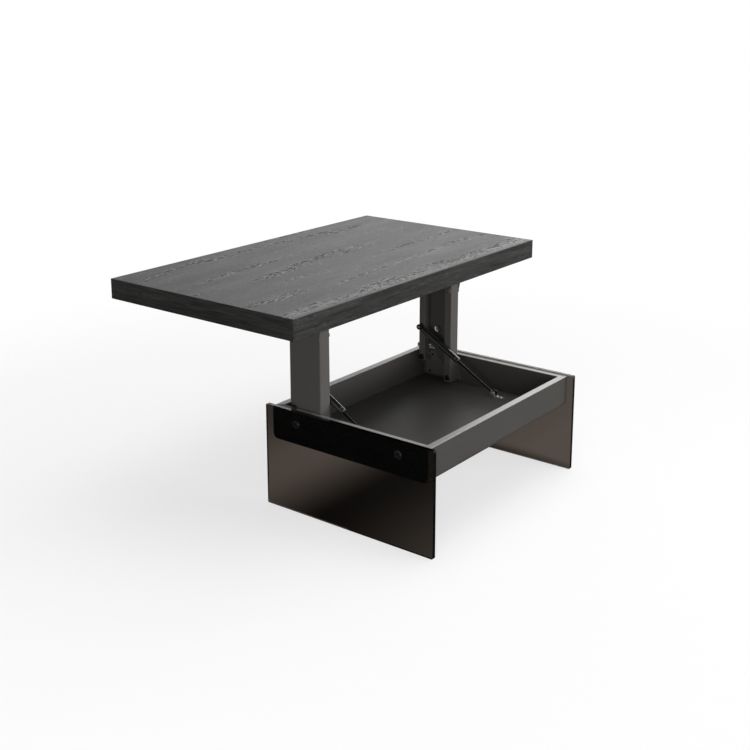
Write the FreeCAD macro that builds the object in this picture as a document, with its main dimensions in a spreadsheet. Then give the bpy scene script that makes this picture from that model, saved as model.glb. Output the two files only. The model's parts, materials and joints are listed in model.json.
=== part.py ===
import FreeCAD, Part
import os
import re
import Sketcher

# Lift-top table, modelled raised. X runs along the top, Y from front to back, Z up.
# The origin lies on the ground under the middle of the whole object.
# The top swings forward and down on a parallelogram of two arms and two links, helped by two gas springs.

# Driving sizes in millimetres
SIZES = {
    # Top: a board with deep mitred edges and an open underside
    "top_length": 1200.0,
    "top_width": 700.0,
    "top_thickness": 60.0,
    "top_board_thickness": 22.0,
    "edge_thickness": 22.0,
    "batten_width": 20.0,
    "batten_lift": 3.0,
    "stiffener_width": 18.0,
    "stiffener_height": 30.0,
    "stiffener_inset": 6.0,
    "buffer_radius": 7.0,
    "buffer_front_inset": 38.0,
    "buffer_back_inset": 12.0,
    "buffer_gap": 0.3,
    # Glass end panels, which stand on the ground
    "base_length": 768.0,
    "base_width": 591.0,
    "glass_thickness": 12.0,
    "glass_height": 308.0,
    "glass_corner_radius": 4.0,
    "glass_bolt_inset": 115.5,
    "glass_bolt_drop": 39.0,
    "glass_bolt_radius": 4.0,
    "glass_bolt_tail": 15.0,
    "glass_bolt_head_radius": 12.5,
    "glass_bolt_head_height": 4.0,
    "glass_washer_radius": 13.5,
    "glass_washer_thickness": 1.0,
    # Storage box
    "box_setback": 22.0,
    "wall_thickness": 20.0,
    "box_height": 98.0,
    "box_edge_radius": 16.0,
    "rim_drop": 3.0,
    "rim_trim_thickness": 2.0,
    "floor_thickness": 6.0,
    "dowel_radius": 4.0,
    "dowel_half_length": 11.5,
    "dowel_hole_depth": 12.0,
    "dowel_low": 25.0,
    "dowel_spacing": 48.0,
    # Lift mechanism: pivots
    "arm_length": 294.0,
    "lowered_clearance": 1.0,
    "top_pivot_inset": 136.0,
    "arm_pivot_from_back": 125.0,
    "arm_pivot_height": 20.0,
    "link_offset_y": 103.0,
    "link_offset_z": 53.0,
    "pivot_plate_thickness": 3.0,
    "pivot_plate_side_margin": 22.0,
    "pivot_plate_edge_margin": 13.0,
    "plate_screw_radius": 2.0,
    "plate_screw_head_radius": 4.0,
    "plate_screw_head_height": 2.0,
    "plate_screw_length": 12.0,
    "plate_screw_drop": 7.0,
    "plate_screw_front": 30.0,
    "plate_screw_back": 3.0,
    "plate_screw_middle": 42.0,
    "plate_screw_below_link": 15.0,
    "plate_screw_beside_link": 14.0,
    "arm_pin_radius": 5.0,
    "link_pin_radius": 4.0,
    "pin_head_radius": 8.5,
    "pin_head_height": 4.7,
    "pin_tail": 6.0,
    "spacer_radius": 8.0,
    "nut_radius": 7.5,
    "nut_height": 5.0,
    # Main arms: lipped channels, open to the back
    "arm_width": 113.0,
    "arm_depth": 42.0,
    "arm_sheet": 3.0,
    "arm_lip_width": 25.0,
    "arm_pivot_inset": 11.0,
    "arm_tail": 15.0,
    "arm_head": 71.0,
    "arm_foot_width": 25.0,
    "arm_foot_rise": 12.0,
    "arm_cutaway_radius": 34.0,
    "arm_head_cut_y": 24.0,
    "arm_head_cut_z": 37.0,
    "arm_hole_radius": 9.5,
    "arm_hole_y": 67.0,
    "arm_hole_z": 147.0,
    "arm_bush_radius": 7.0,
    # Control links: narrow channels, open to the back
    "link_width": 22.0,
    "link_depth": 26.0,
    "link_sheet": 2.5,
    "link_end": 11.0,
    "link_bush_radius": 6.0,
    # Brackets under the top
    "bracket_sheet": 3.0,
    "bracket_foot_half_width": 10.0,
    "bracket_front_reach": 25.0,
    "bracket_back_reach": 14.0,
    "bracket_shoulder": 73.0,
    "lug_spacing": 3.4,
    "lug_half_width": 12.0,
    "bracket_screw_radius": 2.0,
    "bracket_screw_head_radius": 3.2,
    "bracket_screw_head_height": 2.2,
    "bracket_screw_length": 12.0,
    "bracket_screw_inset": 5.0,
    "bracket_screw_first": 15.0,
    "bracket_screw_pitch": 45.0,
    # Gas springs
    "spring_offset": 12.6,
    "spring_reach": 290.0,
    "spring_anchor_height": 11.0,
    "stud_height": 106.0,
    "stud_radius": 4.0,
    "stud_flange_radius": 7.0,
    "stud_gap": 0.3,
    "socket_radius": 9.0,
    "socket_half_width": 8.0,
    "socket_reach": 14.0,
    "socket_neck_radius": 6.0,
    "cylinder_radius": 10.0,
    "cylinder_bore_radius": 7.5,
    "cylinder_end_wall": 3.0,
    "seal_length": 8.0,
    "piston_length": 6.0,
    "piston_gap": 2.0,
    "rod_radius": 4.0,
    "rod_eye_radius": 8.0,
    "rod_eye_half_width": 6.0,
    "rod_neck_radius": 5.0,
    "rod_end_reach": 14.0,
    "closed_gap": 3.0,
    "ear_clearance": 1.0,
    "ear_sheet": 2.5,
    "ear_half_width": 8.0,
    "ear_rise": 8.0,
    "foot_sheet": 2.5,
    "foot_front_reach": 34.0,
    "foot_back_reach": 10.0,
    "foot_screw_near": 14.0,
    "foot_screw_pitch": 13.0,
    "foot_screw_radius": 2.0,
    "foot_screw_head_radius": 4.0,
    "foot_screw_head_height": 2.2,
    "foot_screw_length": 7.0,
    "anchor_pin_radius": 4.0,
    "anchor_pin_head_radius": 6.0,
    "anchor_pin_head_height": 3.0,
    "anchor_pin_end": 1.4,
    # Clearances
    "running_gap": 0.4,
    "head_gap": 0.3,
    "pin_clearance": 0.05,
    "bush_clearance": 0.02,
    "hole_clearance": 0.1,
    "piston_clearance": 0.1,
    "cut_margin": 2.0,
}

# Places worked out from the driving sizes
PLACES = {
    # Across the table, on its right side
    "half_base": "base_length / 2",
    "half_top": "top_length / 2",
    "glass_inner_x": "half_base - glass_thickness",
    "wall_inner_x": "glass_inner_x - wall_thickness",
    "wall_middle_x": "glass_inner_x - wall_thickness / 2",
    "plate_inner_x": "wall_inner_x - pivot_plate_thickness",
    "web_outer_x": "plate_inner_x - running_gap",
    "web_inner_x": "web_outer_x - arm_sheet",
    "lip_inner_x": "web_outer_x - arm_depth",
    "lip_outer_x": "lip_inner_x + arm_sheet",
    "link_outer_x": "lip_inner_x + link_depth",
    "lug_inner_x": "link_outer_x + lug_spacing",
    "lug_outer_x": "lug_inner_x + bracket_sheet",
    "bracket_outer_x": "wall_inner_x - running_gap",
    "batten_outer_x": "bracket_outer_x + batten_width",
    "pin_seat_x": "lip_inner_x - head_gap",
    "spring_x": "lip_inner_x - spring_offset",
    "ear_inner": "rod_eye_half_width + ear_clearance",
    "ear_outer": "ear_inner + ear_sheet",
    # From front to back
    "pivot_from_front": "base_width - box_setback - wall_thickness - arm_pivot_from_back",
    "whole_depth": "pivot_from_front - top_pivot_inset + top_width",
    "glass_front_y": "-whole_depth / 2",
    "glass_back_y": "glass_front_y + base_width",
    "box_front_y": "glass_front_y + box_setback",
    "box_back_y": "glass_back_y - box_setback",
    "floor_front_y": "box_front_y + wall_thickness",
    "floor_back_y": "box_back_y - wall_thickness",
    "arm_y": "floor_back_y - arm_pivot_from_back",
    "top_front_y": "arm_y - top_pivot_inset",
    "top_back_y": "top_front_y + top_width",
    "link_y": "arm_y + link_offset_y",
    "arm_front_y": "arm_y - arm_pivot_inset",
    "arm_back_y": "arm_front_y + arm_width",
    # Up from the ground
    "rim_z": "glass_height - rim_drop",
    "wall_top_z": "rim_z - rim_trim_thickness",
    "box_bottom_z": "rim_z - box_height",
    "floor_top_z": "box_bottom_z + floor_thickness",
    "top_bottom_z": "glass_height + lowered_clearance + arm_length",
    "top_z": "top_bottom_z + top_thickness",
    "ceiling_z": "top_z - top_board_thickness",
    "batten_bottom_z": "top_bottom_z + batten_lift",
    "flange_bottom_z": "ceiling_z - bracket_sheet",
    "arm_z": "floor_top_z + arm_pivot_height",
    "link_z": "arm_z + link_offset_z",
    "arm_top_z": "arm_z + arm_length",
    "link_top_z": "link_z + arm_length",
    "arm_bottom_z": "arm_z - arm_tail",
    "arm_end_z": "arm_top_z + arm_head",
    # Gas spring: lengths along its own axis, from the anchor pin up
    "anchor_y": "link_y - spring_reach",
    "anchor_z": "floor_top_z + spring_anchor_height",
    "stud_z": "link_z + stud_height",
    "spring_length": "sqrt((link_y - anchor_y) ^ 2 + (stud_z - anchor_z) ^ 2)",
    "spring_angle": "atan2(stud_z - anchor_z; link_y - anchor_y)",
    "folded_length": "sqrt((link_y - stud_height - anchor_y) ^ 2 + (link_z - anchor_z) ^ 2)",
    "tube_low": "spring_length - folded_length + rod_end_reach + closed_gap",
    "tube_high": "spring_length - socket_reach",
    "piston_low": "tube_low + seal_length + piston_gap",
    "piston_high": "piston_low + piston_length",
}

NAME = re.compile(r"[a-z][a-z_0-9]*")
X_AXIS = FreeCAD.Vector(1, 0, 0)
Y_AXIS = FreeCAD.Vector(0, 1, 0)
Z_AXIS = FreeCAD.Vector(0, 0, 1)
ORIGIN = FreeCAD.Vector(0, 0, 0)
RIGHT_ANGLE = 90
FULL_TURN = 360
HEXAGON_SIDES = 6
MATCH = 1e-6

# Turns that lay a local Z axis along X or Y
LIE_ALONG = {
    "x": FreeCAD.Rotation(Y_AXIS, RIGHT_ANGLE),
    "y": FreeCAD.Rotation(X_AXIS, -RIGHT_ANGLE),
    "z": FreeCAD.Rotation(),
}

doc = FreeCAD.newDocument("lift_top_table")
nodes = []


def fill_sheet():
    """Put each driving size in the sheet under its own name."""
    sheet = doc.addObject("Spreadsheet::Sheet", "Dimensions")
    for row, (name, value) in enumerate(SIZES.items(), start=1):
        sheet.set(f"A{row}", name)
        sheet.set(f"B{row}", str(value))
        sheet.setAlias(f"B{row}", name)
    doc.recompute()
    return sheet


def expand(text):
    """Write an expression of sizes and places in the sheet's terms."""
    def term(match):
        word = match.group()
        if word in SIZES:
            return "Dimensions." + word
        if word in PLACES:
            return "(" + expand(PLACES[word]) + ")"
        return word
    return NAME.sub(term, text)


def number(text):
    """The present value of an expression, in millimetres or degrees."""
    value = dimensions.evalExpression(expand(text))
    return float(getattr(value, "Value", value))


def bind(obj, prop, text):
    obj.setExpression(prop, expand(text))


def place(obj, at):
    for letter, text in zip("xyz", at):
        bind(obj, f"Placement.Base.{letter}", text)


def node(obj):
    """Keep an object as one named piece of the table."""
    nodes.append(obj)
    return obj


# Plain solids

def box(label, x, y, z):
    """A block between the low and high places given for each axis."""
    obj = doc.addObject("Part::Box", label)
    for prop, (low, high) in zip(("Length", "Width", "Height"), (x, y, z)):
        bind(obj, prop, f"({high}) - ({low})")
    place(obj, (x[0], y[0], z[0]))
    return obj


def bar(label, axis, at, radius, length):
    """A round bar that starts at a place and runs along an axis."""
    obj = doc.addObject("Part::Cylinder", label)
    obj.Placement.Rotation = LIE_ALONG[axis]
    bind(obj, "Radius", radius)
    bind(obj, "Height", length)
    place(obj, at)
    return obj


def bar_along_x(label, low, high, y, z, radius):
    return bar(label, "x", (low, y, z), radius, f"({high}) - ({low})")


def cut(label, base, tools):
    tool = tools[0] if len(tools) == 1 else group(label + "_tools", tools)
    obj = doc.addObject("Part::Cut", label)
    obj.Base = base
    obj.Tool = tool
    return obj


def fuse(label, shapes):
    obj = doc.addObject("Part::MultiFuse", label)
    obj.Shapes = shapes
    obj.Refine = True
    return obj


def group(label, members):
    """Separate solids that share one name."""
    obj = doc.addObject("Part::Compound", label)
    obj.Links = members
    return obj


def mirrored(label, source):
    """The left-hand copy of a right-hand piece."""
    obj = doc.addObject("Part::Mirroring", label)
    obj.Source = source
    obj.Base = ORIGIN
    obj.Normal = X_AXIS
    return obj


def left_and_right(name, right):
    """Two nodes: a piece on the right and its mirror image on the left."""
    right.Label = name + "_right"
    node(right)
    node(mirrored(name + "_left", right))


def pair_group(label, rights):
    """One node: pieces on the right and their mirror images."""
    lefts = [mirrored(f"{label}_mirrored_{i}", right) for i, right in enumerate(rights)]
    return node(group(label, rights + lefts))


def ring(label, low, high, y, z, radius, bore):
    """A round sleeve along X."""
    outer = bar_along_x(label + "_outside", low, high, y, z, radius)
    inner = bar_along_x(label + "_bore", low, high, y, z, bore)
    return cut(label, outer, [inner])


def headed_pin(label, y, z, radius, tail_x):
    """A pin along X with its head on the inner side of the arm or link."""
    head = bar_along_x(label + "_head", "pin_seat_x - pin_head_height", "pin_seat_x", y, z, "pin_head_radius")
    shank = bar_along_x(label + "_shank", "pin_seat_x", tail_x, y, z, radius)
    return fuse(label, [head, shank])


def mitred(label, quarter_turns, x, outer, thickness, z, inner_top):
    """A frame member with mitred ends: its outer face is longer, and may be taller, than its inner one."""
    obj = doc.addObject("Part::Wedge", label)
    obj.Placement.Rotation = FreeCAD.Rotation(Z_AXIS, RIGHT_ANGLE * quarter_turns)
    low, high = x
    values = {
        "Xmin": low, "Xmax": high,
        "X2min": f"({low}) + {thickness}", "X2max": f"({high}) - {thickness}",
        "Ymin": outer, "Ymax": f"({outer}) + {thickness}",
        "Zmin": z[0], "Zmax": z[1], "Z2min": z[0], "Z2max": inner_top,
    }
    for prop, text in values.items():
        bind(obj, prop, text)
    return obj


def mitred_frame(name, half_x, front, back, thickness, z, inner_top):
    """Four mitred members round a rectangle, each a node of its own."""
    across = (f"-{half_x}", half_x)
    node(mitred(name + "_front", 0, across, front, thickness, z, inner_top))
    node(mitred(name + "_right", 1, (front, back), f"-{half_x}", thickness, z, inner_top))
    node(mitred(name + "_back", 2, across, f"-{back}", thickness, z, inner_top))
    node(mitred(name + "_left", 3, (f"-{back}", f"-{front}"), f"-{half_x}", thickness, z, inner_top))


# Sketched solids

def new_body(label):
    return doc.addObject("PartDesign::Body", label)


def new_sketch(body, name, role, offset):
    """A sketch on one of the body's own planes, moved along that plane's normal."""
    sketch = body.newObject("Sketcher::SketchObject", name)
    support = next(item for item in body.Origin.OriginFeatures if item.Role == role)
    sketch.AttachmentSupport = [(support, "")]
    sketch.MapMode = "FlatFace"
    bind(sketch, "AttachmentOffset.Base.z", offset)
    return sketch


def tie(sketch, constraint, text):
    index = sketch.addConstraint(constraint)
    bind(sketch, f"Constraints[{index}]", text)


def tie_point(sketch, geometry, point, u, v):
    tie(sketch, Sketcher.Constraint("DistanceX", -1, 1, geometry, point, number(u)), u)
    tie(sketch, Sketcher.Constraint("DistanceY", -1, 1, geometry, point, number(v)), v)


def draw_outline(sketch, corners):
    """A closed outline with each corner tied to its place."""
    points = [FreeCAD.Vector(number(u), number(v), 0) for u, v in corners]
    count = len(points)
    for i in range(count):
        sketch.addGeometry(Part.LineSegment(points[i], points[(i + 1) % count]), False)
    for i in range(count):
        sketch.addConstraint(Sketcher.Constraint("Coincident", i, 2, (i + 1) % count, 1))
    for i, (u, v) in enumerate(corners):
        tie_point(sketch, i, 1, u, v)


def draw_circle(sketch, u, v, radius):
    centre = FreeCAD.Vector(number(u), number(v), 0)
    index = sketch.addGeometry(Part.Circle(centre, Z_AXIS, number(radius)), False)
    tie_point(sketch, index, 3, u, v)
    tie(sketch, Sketcher.Constraint("Radius", index, number(radius)), radius)


def pad(body, name, role, offset, length, corners, holes=()):
    """A sheet or bar of the given outline and round holes, raised from a plane."""
    sketch = new_sketch(body, name + "_sketch", role, offset)
    draw_outline(sketch, corners)
    for u, v, radius in holes:
        draw_circle(sketch, u, v, radius)
    feature = body.newObject("PartDesign::Pad", name)
    feature.Profile = sketch
    bind(feature, "Length", length)
    doc.recompute()


def side_pocket(body, name, corners=(), holes=()):
    """Cut an outline or round holes through a right-hand body, along X from the outside to the middle."""
    before = body.Shape.Volume
    sketch = new_sketch(body, name + "_sketch", "YZ_Plane", "half_base")
    if corners:
        draw_outline(sketch, corners)
    for u, v, radius in holes:
        draw_circle(sketch, u, v, radius)
    feature = body.newObject("PartDesign::Pocket", name)
    feature.Profile = sketch
    bind(feature, "Length", "half_base")
    doc.recompute()
    if body.Shape.Volume >= before:
        raise RuntimeError(name + " cuts nothing")


def round_long_edges(body, name, radius, places):
    """Round the edges that run along X through the given (y, z) places."""
    base = body.Tip
    targets = [(number(y), number(z)) for y, z in places]

    def runs_through(edge, y, z):
        return all(abs(end.Y - y) < MATCH and abs(end.Z - z) < MATCH for end in edge.Vertexes)

    def wanted(edge):
        return any(runs_through(edge, y, z) for y, z in targets)

    names = [f"Edge{i}" for i, edge in enumerate(base.Shape.Edges, start=1) if wanted(edge)]
    if len(names) != len(targets):
        raise RuntimeError(name + " does not find its edges")
    feature = body.newObject("PartDesign::Fillet", name)
    feature.Base = (base, names)
    bind(feature, "Radius", radius)
    doc.recompute()


def turned_on_spring(label, profile):
    """A turned piece on the spring's axis, from (radius, distance from the anchor pin) corners."""
    body = new_body(label)
    sketch = new_sketch(body, label + "_sketch", "XZ_Plane", "0")
    draw_outline(sketch, profile)
    feature = body.newObject("PartDesign::Revolution", label + "_turning")
    feature.Profile = sketch
    feature.ReferenceAxis = (sketch, ["V_Axis"])
    feature.Angle = FULL_TURN
    body.Placement.Rotation = FreeCAD.Rotation(X_AXIS, RIGHT_ANGLE)
    bind(body, "Placement.Rotation.Angle", "spring_angle - 90 deg")
    place(body, ("spring_x", "anchor_y", "anchor_z"))
    doc.recompute()
    return body


# Top

BRACKET_SCREW_X = "lug_inner_x + bracket_screw_inset"
BRACKET_SCREW_COUNT = 3


def bracket_screw_places():
    first = "arm_y - bracket_screw_first"
    return [f"{first} + {i} * bracket_screw_pitch" for i in range(BRACKET_SCREW_COUNT)]


def make_top_board():
    """The board, bevelled all round to meet the mitred edges."""
    blank = doc.addObject("Part::Wedge", "top_board_blank")
    blank.Placement.Rotation = FreeCAD.Rotation(X_AXIS, RIGHT_ANGLE)
    values = {
        "Xmin": "-half_top + edge_thickness", "Xmax": "half_top - edge_thickness",
        "X2min": "-half_top", "X2max": "half_top",
        "Ymin": "ceiling_z", "Ymax": "top_z",
        "Zmin": "-top_back_y + edge_thickness", "Zmax": "-top_front_y - edge_thickness",
        "Z2min": "-top_back_y", "Z2max": "-top_front_y",
    }
    for prop, text in values.items():
        bind(blank, prop, text)
    radius = "bracket_screw_radius + hole_clearance"
    depth = "bracket_screw_length - bracket_sheet + hole_clearance"
    holes = []
    for side in ("", "-"):
        for y in bracket_screw_places():
            at = (f"{side}({BRACKET_SCREW_X})", y, "ceiling_z")
            holes.append(bar(f"board_hole_{len(holes)}", "z", at, radius, depth))
    node(cut("top_board", blank, holes))


def make_top_stiffening():
    """Cross battens beside the arms, long stiffeners between them and buffers that meet the box rim."""
    inner_front = "top_front_y + edge_thickness"
    inner_back = "top_back_y - edge_thickness"
    batten = box("top_batten", ("bracket_outer_x", "batten_outer_x"), (inner_front, inner_back),
                 ("batten_bottom_z", "ceiling_z"))
    left_and_right("top_batten", batten)
    across = ("-bracket_outer_x", "bracket_outer_x")
    height = ("ceiling_z - stiffener_height", "ceiling_z")
    near = f"{inner_front} + stiffener_inset"
    far = f"{inner_back} - stiffener_inset"
    node(box("top_stiffener_front", across, (near, f"{near} + stiffener_width"), height))
    node(box("top_stiffener_back", across, (f"{far} - stiffener_width", far), height))
    low = "rim_z + arm_length + buffer_gap"
    places = (f"{inner_front} + buffer_front_inset", "floor_back_y - buffer_back_inset + arm_length")
    middle = "bracket_outer_x + batten_width / 2"
    buffers = [bar(f"top_buffer_{i}", "z", (middle, y, low), "buffer_radius", f"batten_bottom_z - ({low})")
               for i, y in enumerate(places)]
    pair_group("top_buffers", buffers)


def make_top_brackets():
    """Bent brackets under the board: a plate outside each arm, a lug beside each link, and a flange."""
    body = new_body("top_bracket")
    front = "arm_y - bracket_front_reach"
    back = "link_y + bracket_back_reach"
    screw = "bracket_screw_radius + hole_clearance"
    holes = [(BRACKET_SCREW_X, y, screw) for y in bracket_screw_places()]
    pad(body, "bracket_flange", "XY_Plane", "flange_bottom_z", "bracket_sheet",
        [("lug_inner_x", front), ("bracket_outer_x", front), ("bracket_outer_x", back),
         ("lug_inner_x", back)], holes)
    foot_front = "arm_y - bracket_foot_half_width"
    foot_back = "arm_y + bracket_foot_half_width"
    foot_z = "arm_top_z - bracket_foot_half_width"
    shoulder_z = "arm_top_z + bracket_shoulder"
    pad(body, "bracket_plate", "YZ_Plane", "plate_inner_x", "bracket_outer_x - plate_inner_x",
        [(foot_front, foot_z), (foot_back, foot_z), (foot_back, "arm_top_z"),
         ("link_y", shoulder_z), ("link_y", "ceiling_z"), (front, "ceiling_z"),
         (front, shoulder_z), (foot_front, "arm_top_z")],
        [("arm_y", "arm_top_z", "arm_pin_radius + hole_clearance")])
    lug = ("link_y - lug_half_width", "link_y + lug_half_width")
    lug_z = "link_top_z - lug_half_width"
    pad(body, "bracket_lug", "YZ_Plane", "lug_inner_x", "bracket_sheet",
        [(lug[0], lug_z), (lug[1], lug_z), (lug[1], "ceiling_z"), (lug[0], "ceiling_z")],
        [("link_y", "link_top_z", "link_pin_radius + hole_clearance")])
    left_and_right("top_bracket", body)
    screws = []
    for i, y in enumerate(bracket_screw_places()):
        name = f"bracket_screw_{i}"
        seat = (BRACKET_SCREW_X, y, "flange_bottom_z - bracket_screw_head_height")
        head = bar(name + "_head", "z", seat, "bracket_screw_head_radius", "bracket_screw_head_height")
        shank = bar(name + "_shank", "z", (BRACKET_SCREW_X, y, "flange_bottom_z"), "bracket_screw_radius",
                    "bracket_screw_length")
        screws.append(fuse(name, [head, shank]))
    pair_group("top_bracket_screws", screws)


def make_upper_pins():
    """Pins, spacers and nuts of the pivots that the top hangs on."""
    arm_pin = headed_pin("upper_arm_pin", "arm_y", "arm_top_z", "arm_pin_radius", "bracket_outer_x")
    pair_group("upper_arm_pins", [arm_pin])
    nut_end = "lug_outer_x + nut_height"
    link_pin = headed_pin("upper_link_pin", "link_y", "link_top_z", "link_pin_radius", nut_end)
    pair_group("upper_link_pins", [link_pin])
    bore = "link_pin_radius + hole_clearance"
    spacer = ring("upper_link_spacer", "link_outer_x + head_gap", "lug_inner_x", "link_y", "link_top_z",
                  "spacer_radius", bore)
    pair_group("upper_link_spacers", [spacer])
    hexagon = doc.addObject("Part::Prism", "upper_link_nut_hexagon")
    hexagon.Polygon = HEXAGON_SIDES
    hexagon.Placement.Rotation = LIE_ALONG["x"]
    bind(hexagon, "Circumradius", "nut_radius")
    bind(hexagon, "Height", "nut_height")
    place(hexagon, ("lug_outer_x", "link_y", "link_top_z"))
    thread = bar_along_x("upper_link_nut_thread", "lug_outer_x", nut_end, "link_y", "link_top_z", bore)
    pair_group("upper_link_nuts", [cut("upper_link_nut", hexagon, [thread])])


# Base

GLASS_BOLT_Z = "glass_height - glass_bolt_drop"
GLASS_BOLT_YS = ("glass_front_y + glass_bolt_inset", "glass_back_y - glass_bolt_inset")


def make_glass():
    """Glass end panels with their round-headed bolts and washers."""
    corners = [("glass_front_y", "0"), ("glass_back_y", "0"),
               ("glass_back_y", "glass_height"), ("glass_front_y", "glass_height")]
    body = new_body("glass_panel")
    pad(body, "glass_sheet", "YZ_Plane", "glass_inner_x", "glass_thickness", corners,
        [(y, GLASS_BOLT_Z, "glass_bolt_radius + hole_clearance") for y in GLASS_BOLT_YS])
    round_long_edges(body, "glass_corners", "glass_corner_radius", corners)
    left_and_right("glass_panel", body)
    seat = "half_base + glass_washer_thickness"
    bolts = []
    washers = []
    for i, y in enumerate(GLASS_BOLT_YS):
        head = bar_along_x(f"glass_bolt_{i}_head", seat, f"{seat} + glass_bolt_head_height", y, GLASS_BOLT_Z,
                           "glass_bolt_head_radius")
        shank = bar_along_x(f"glass_bolt_{i}_shank", "glass_inner_x - glass_bolt_tail", seat, y, GLASS_BOLT_Z,
                            "glass_bolt_radius")
        bolts.append(fuse(f"glass_bolt_{i}", [head, shank]))
        washers.append(ring(f"glass_washer_{i}", "half_base", seat, y, GLASS_BOLT_Z, "glass_washer_radius",
                            "glass_bolt_radius + hole_clearance"))
    pair_group("glass_bolts", bolts)
    pair_group("glass_washers", washers)


def plate_screw_places():
    """Screws spread round the two pivots, where the raised arm leaves the plate in view."""
    low = "arm_z - plate_screw_drop"
    return (("arm_y + plate_screw_front", low), ("link_y - plate_screw_back", low),
            ("arm_y + plate_screw_middle", "link_z - plate_screw_below_link"),
            ("link_y - plate_screw_beside_link", "link_z"))


def dowel_heights():
    low = "box_bottom_z + dowel_low"
    return (low, f"{low} + dowel_spacing")


def dowel_holes(name, xs, y):
    """Bores for the dowels of one joint face, from the face along +Y."""
    radius = "dowel_radius + hole_clearance"
    return [bar(f"{name}_{i}_{j}", "y", (x, y, z), radius, "dowel_hole_depth")
            for i, x in enumerate(xs) for j, z in enumerate(dowel_heights())]


def make_rails():
    """Front and back rails of the box, rounded along their outer lower edges."""
    both = ("wall_middle_x", "-wall_middle_x")
    for name, outer, inner, bored in (
            ("box_front_rail", "box_front_y", "floor_front_y", "floor_front_y - dowel_hole_depth"),
            ("box_back_rail", "box_back_y", "floor_back_y", "floor_back_y")):
        body = new_body(name + "_blank")
        pad(body, name + "_bar", "YZ_Plane", "-glass_inner_x", "2 * glass_inner_x",
            [(outer, "box_bottom_z"), (inner, "box_bottom_z"), (inner, "wall_top_z"), (outer, "wall_top_z")])
        round_long_edges(body, name + "_round", "box_edge_radius", [(outer, "box_bottom_z")])
        node(cut(name, body, dowel_holes(name + "_dowel_hole", both, bored)))


def make_box_ends():
    """End walls between the rails, bored for bolts, screws, pins and dowels."""
    blank = box("box_end_blank", ("wall_inner_x", "glass_inner_x"), ("floor_front_y", "floor_back_y"),
                ("box_bottom_z", "wall_top_z"))
    clear = "hole_clearance"
    bores = []
    for y in GLASS_BOLT_YS:
        bores.append((f"glass_inner_x - glass_bolt_tail - {clear}", "glass_inner_x", y, GLASS_BOLT_Z,
                      f"glass_bolt_radius + {clear}"))
    for y, z in plate_screw_places():
        bores.append(("wall_inner_x", f"plate_inner_x + plate_screw_length + {clear}", y, z,
                      f"plate_screw_radius + {clear}"))
    for y, z, radius in (("arm_y", "arm_z", "arm_pin_radius"), ("link_y", "link_z", "link_pin_radius")):
        bores.append(("wall_inner_x", f"wall_inner_x + pin_tail + {clear}", y, z, f"{radius} + {clear}"))
    tools = [bar_along_x(f"box_end_bore_{i}", *bore) for i, bore in enumerate(bores)]
    tools += dowel_holes("box_end_front_dowel_hole", ["wall_middle_x"], "floor_front_y")
    tools += dowel_holes("box_end_back_dowel_hole", ["wall_middle_x"], "floor_back_y - dowel_hole_depth")
    left_and_right("box_end", cut("box_end", blank, tools))
    dowels = [bar(f"box_dowel_{i}_{j}", "y", ("wall_middle_x", f"{y} - dowel_half_length", z), "dowel_radius",
                  "2 * dowel_half_length")
              for i, y in enumerate(("floor_front_y", "floor_back_y")) for j, z in enumerate(dowel_heights())]
    pair_group("box_dowels", dowels)


FOOT_SCREW_COUNT = 2


def foot_screw_places():
    first = "anchor_y - foot_screw_near"
    return [f"{first} - {i} * foot_screw_pitch" for i in range(FOOT_SCREW_COUNT)]


def make_box_floor():
    """The floor panel, bored for the screws of the spring brackets."""
    panel = box("box_floor_blank", ("-wall_inner_x", "wall_inner_x"), ("floor_front_y", "floor_back_y"),
                ("box_bottom_z", "floor_top_z"))
    radius = "foot_screw_radius + hole_clearance"
    depth = "foot_screw_length - foot_sheet + hole_clearance"
    holes = []
    for side in ("", "-"):
        for y in foot_screw_places():
            at = (f"{side}(spring_x)", y, f"floor_top_z - ({depth})")
            holes.append(bar(f"floor_hole_{len(holes)}", "z", at, radius, depth))
    node(cut("box_floor", panel, holes))


def make_rim():
    """Flat trim round the rim of the box, mitred at the corners."""
    mitred_frame("rim_trim", "glass_inner_x", "box_front_y", "box_back_y", "wall_thickness",
                 ("wall_top_z", "rim_z"), "rim_z")


def make_pivot_plates():
    """Steel plates inside the end walls that carry the lower pivots."""
    body = new_body("pivot_plate_blank")
    front = "arm_y - pivot_plate_side_margin"
    back = "link_y + pivot_plate_edge_margin"
    low = "arm_z - pivot_plate_edge_margin"
    high = "link_z + pivot_plate_edge_margin"
    pad(body, "pivot_plate_sheet", "YZ_Plane", "plate_inner_x", "pivot_plate_thickness",
        [(front, low), (back, low), (back, high), ("arm_y", high), (front, "arm_z")],
        [("arm_y", "arm_z", "arm_pin_radius + hole_clearance"),
         ("link_y", "link_z", "link_pin_radius + hole_clearance")])
    screws = []
    recesses = []
    for i, (y, z) in enumerate(plate_screw_places()):
        screws.append(countersunk_screw(f"plate_screw_{i}", y, z, "0"))
        recesses.append(countersunk_screw(f"plate_recess_{i}", y, z, "hole_clearance"))
    left_and_right("pivot_plate", cut("pivot_plate", body, recesses))
    pair_group("pivot_plate_screws", screws)


def countersunk_screw(label, y, z, extra):
    """A screw along X, flush with the plate's inner face, or the hole it leaves with extra room."""
    head = doc.addObject("Part::Cone", label + "_head")
    head.Placement.Rotation = LIE_ALONG["x"]
    bind(head, "Radius1", f"plate_screw_head_radius + {extra}")
    bind(head, "Radius2", f"plate_screw_radius + {extra}")
    bind(head, "Height", "plate_screw_head_height")
    place(head, ("plate_inner_x", y, z))
    shank = bar_along_x(label + "_shank", "plate_inner_x + plate_screw_head_height",
                        "plate_inner_x + plate_screw_length", y, z, f"plate_screw_radius + {extra}")
    return fuse(label, [head, shank])


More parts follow.
